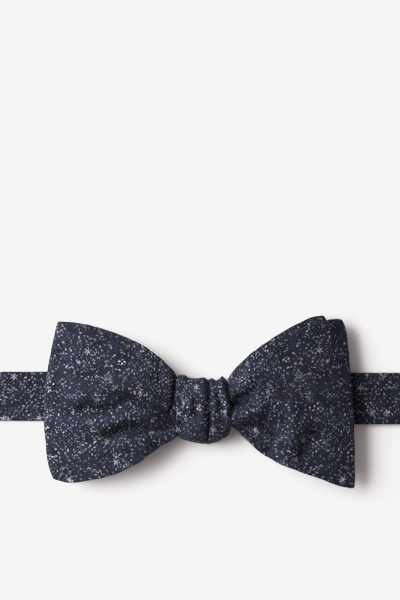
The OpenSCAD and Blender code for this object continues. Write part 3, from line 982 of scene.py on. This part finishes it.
def lofted(name, rings, material, closed=False):
    """A closed solid through rings of points, with capped ends or joined end to end."""
    rows, sides = rings.shape[:2]
    faces = []
    for i in range(rows if closed else rows - 1):
        for j in range(sides):
            a, b = i * sides + j, i * sides + (j + 1) % sides
            step = (i + 1) % rows * sides - i * sides
            faces.append((a, b, b + step, a + step))
    if not closed:
        faces.append(tuple(range(sides))[::-1])
        faces.append(tuple(range((rows - 1) * sides, rows * sides)))
    along = np.arange(rows)[:, None] * 0.3 + np.zeros(sides)
    around = np.zeros(rows)[:, None] + np.arange(sides) * 0.1
    uv = np.stack([along, around], axis=-1).reshape(-1, 2)
    return mesh_object(name, rings.reshape(-1, 3), faces, uv, material)


def zigzag(name, body, nodes, x, width, z):
    """A dense zigzag of thread across the strap, pulled into the cloth at its turns."""
    half_w = 7.7
    count = int(half_w * 2 / 0.42)
    turns = np.arange(count * 4 + 1)
    y = np.linspace(-half_w, half_w, len(turns))
    sway = np.array([0, 1, 0, -1])[turns % 4] * width / 2
    dip = np.array([0.05, -0.04, 0.05, -0.04])[turns % 4] * math.copysign(1, z - under_z)
    ob = lofted(name, swept(np.stack([x + sway, y, z + dip], axis=1), 0.14, 8), thread)
    finished(ob, body, nodes)


band_top = band_middle + band_half_t
zigzag("eye_bartack_top", "right_outer_band", ["eye_bartack"], 184.6, 1.2, band_top + 0.12)
zigzag("eye_bartack_under", "right_outer_band", [], 184.6, 1.2, 0.2)
zigzag("slider_bartack", "slider", [], -154.6, 1.0, 0.19)


# ---- Hook, eye and slider ----

def frame_path(x_a, x_b, half_y, corner):
    """A rectangle with round corners, as a closed path."""
    points = []
    centres = [(x_b - corner, half_y - corner, 0), (x_a + corner, half_y - corner, 90),
               (x_a + corner, corner - half_y, 180), (x_b - corner, corner - half_y, 270)]
    for x, y, start in centres:
        for turn in np.radians(np.linspace(start, start + 90, 9)):
            points.append((x + corner * math.cos(turn), y + corner * math.sin(turn), bar_z))
    points.append(points[0])
    filled = []
    for a, b in zip(points[:-1], points[1:]):
        steps = max(1, int(math.dist(a, b) / 1.5))
        filled += [tuple(np.array(a) + (np.array(b) - a) * k / steps) for k in range(steps)]
    return filled


def plate_rings(path, half_w, half_t):
    """Rings of a flat bar along a path of (x, z) points; its edges are rounded."""
    angle = np.linspace(0, 2 * math.pi, 40, endpoint=False)
    c, s = np.cos(angle), np.sin(angle)
    half_w, half_t = (np.broadcast_to(a, len(path)).astype(float)[:, None] for a in (half_w, half_t))
    y = np.sign(c) * np.abs(c) ** 0.22 * half_w
    lift = np.sign(s) * np.abs(s) ** 0.5 * half_t
    return raised(path, y, lift)


def welded(name, parts):
    """One piece from overlapping solids."""
    first = parts[0]
    for other in parts[1:]:
        union = first.modifiers.new("weld", "BOOLEAN")
        union.operation, union.object, union.solver = "UNION", other, "EXACT"
    depsgraph = bpy.context.evaluated_depsgraph_get()
    mesh = bpy.data.meshes.new_from_object(first.evaluated_get(depsgraph))
    for part in parts:
        bpy.data.objects.remove(part)
    return tidy(placed(name, mesh))


bar_r = 0.75
ring_half = 11.0
eye_ring = lofted("eye_wire", swept(frame_path(eye_x, eye_x + 9, ring_half, 1.7), bar_r, 16, True),
                  metal, True)
finished(eye_ring, "eye", ["eye"])

hook_ring = lofted("hook_ring", swept(frame_path(-198.4, hook_x, ring_half, 1.5), bar_r, 16, True),
                   metal, True)
x = np.linspace(-1, 1, 15)
bridge = lofted("hook_bridge", plate_rings(
    np.stack([-198.3 + 1.35 * x, np.full(15, bar_z)], axis=1), 11.4, 0.72 * (1 - 0.5 * x**6)), metal)
tongue_turn, tongue_r = 203.95, 2.3
angle = np.linspace(-math.pi / 2, math.pi / 2, 17)
path = np.concatenate([
    level(198.2, tongue_turn, bar_z, 7)[:-1],
    arc(tongue_turn, bar_z + tongue_r, tongue_r, angle),
    spline([(tongue_turn, bar_z + 2 * tongue_r), (201.6, 6.5), (200, 6.45), (198.9, 6.95)],
           np.linspace(0, 1, 16))[1:],
])
along = running(gaps(path))
left_over = np.clip(1 - (along[-1] - along) / 2.2, 0, 1)
narrow = 4.0 - 0.8 * smooth(along / along[-1], 0.4, 1)
tip = np.sqrt(np.maximum(1 - left_over**2, 0.02))
path[:, 0] *= -1
tongue = lofted("hook_tongue", plate_rings(path, narrow * tip, 0.5 * (1 - 0.45 * left_over**3)), metal)
finished(welded("hook_plate", [hook_ring, bridge, tongue]), "hook", ["hook"])

# The slider keeps the CAD shape, with its edges eased
shape = bmesh.new()
shape.from_mesh(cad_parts["slider"].data)
bmesh.ops.remove_doubles(shape, verts=shape.verts, dist=0.003 * MM)
bmesh.ops.dissolve_limit(shape, angle_limit=math.radians(2), verts=shape.verts, edges=shape.edges)
corners = [e for e in shape.edges if e.is_manifold and e.calc_face_angle(0) > math.radians(35)]
bmesh.ops.bevel(shape, geom=corners, offset=0.22 * MM, segments=3, profile=0.6, affect="EDGES",
                clamp_overlap=True)
mesh = bpy.data.meshes.new("slider_cast")
shape.to_mesh(mesh)
shape.free()
mesh.materials.append(metal)
finished(tidy(placed("slider_cast", mesh)), "slider", ["slider"])


# ---- Table, light and camera ----

view_x, view_y, view_width = -1.4 * MM, 38.6 * MM, 156.6 * MM
camera_height, object_height, image_aspect = 1.4, 0.01, 1.5

bpy.ops.mesh.primitive_plane_add(size=4, location=(0, 0, 0))
table = bpy.context.object
table.name = "table"
table.data.materials.append(paper_white("paper_white"))

camera = bpy.data.cameras.new("camera")
camera.sensor_fit = "VERTICAL"
camera.sensor_height = 36
camera.lens = camera.sensor_height * (camera_height - object_height) / (view_width * image_aspect)
camera.clip_start, camera.clip_end = 0.01, 20
viewer = placed("camera", camera)
viewer.location = (view_x, view_y, camera_height)
bpy.context.scene.camera = viewer

# A square window to the left, aimed at the knot; its azimuth is counted from +X
azimuth, elevation, distance = math.radians(162), math.radians(45), 0.4
window = bpy.data.lights.new("window", "AREA")
window.shape, window.size, window.energy = "SQUARE", 0.36, 3.7
lamp = placed("window", window)
way = (math.cos(elevation) * math.cos(azimuth), math.cos(elevation) * math.sin(azimuth), math.sin(elevation))
lamp.location = tuple(distance * part for part in way)
lamp.rotation_euler = (0, math.pi / 2 - elevation, azimuth)

world = bpy.data.worlds.new("studio")
world.use_nodes = True
surround = world.node_tree.nodes["Background"]
surround.inputs["Color"].default_value = (1, 0.87, 0.88, 1)
surround.inputs["Strength"].default_value = 0.34
bpy.context.scene.world = world

# Tone curve: it lifts the middle tones a little and ends white at an even pale grey
view = bpy.context.scene.view_settings
view.view_transform = "Standard"
view.use_curve_mapping = True
tones = view.curve_mapping
tones.extend = "HORIZONTAL"
for place in [(0.06, 0.052), (0.3, 0.31), (0.75, 0.79)]:
    tones.curves[3].points.new(*place)
tones.curves[3].points[-1].location = (1.0, 0.913)
tones.update()
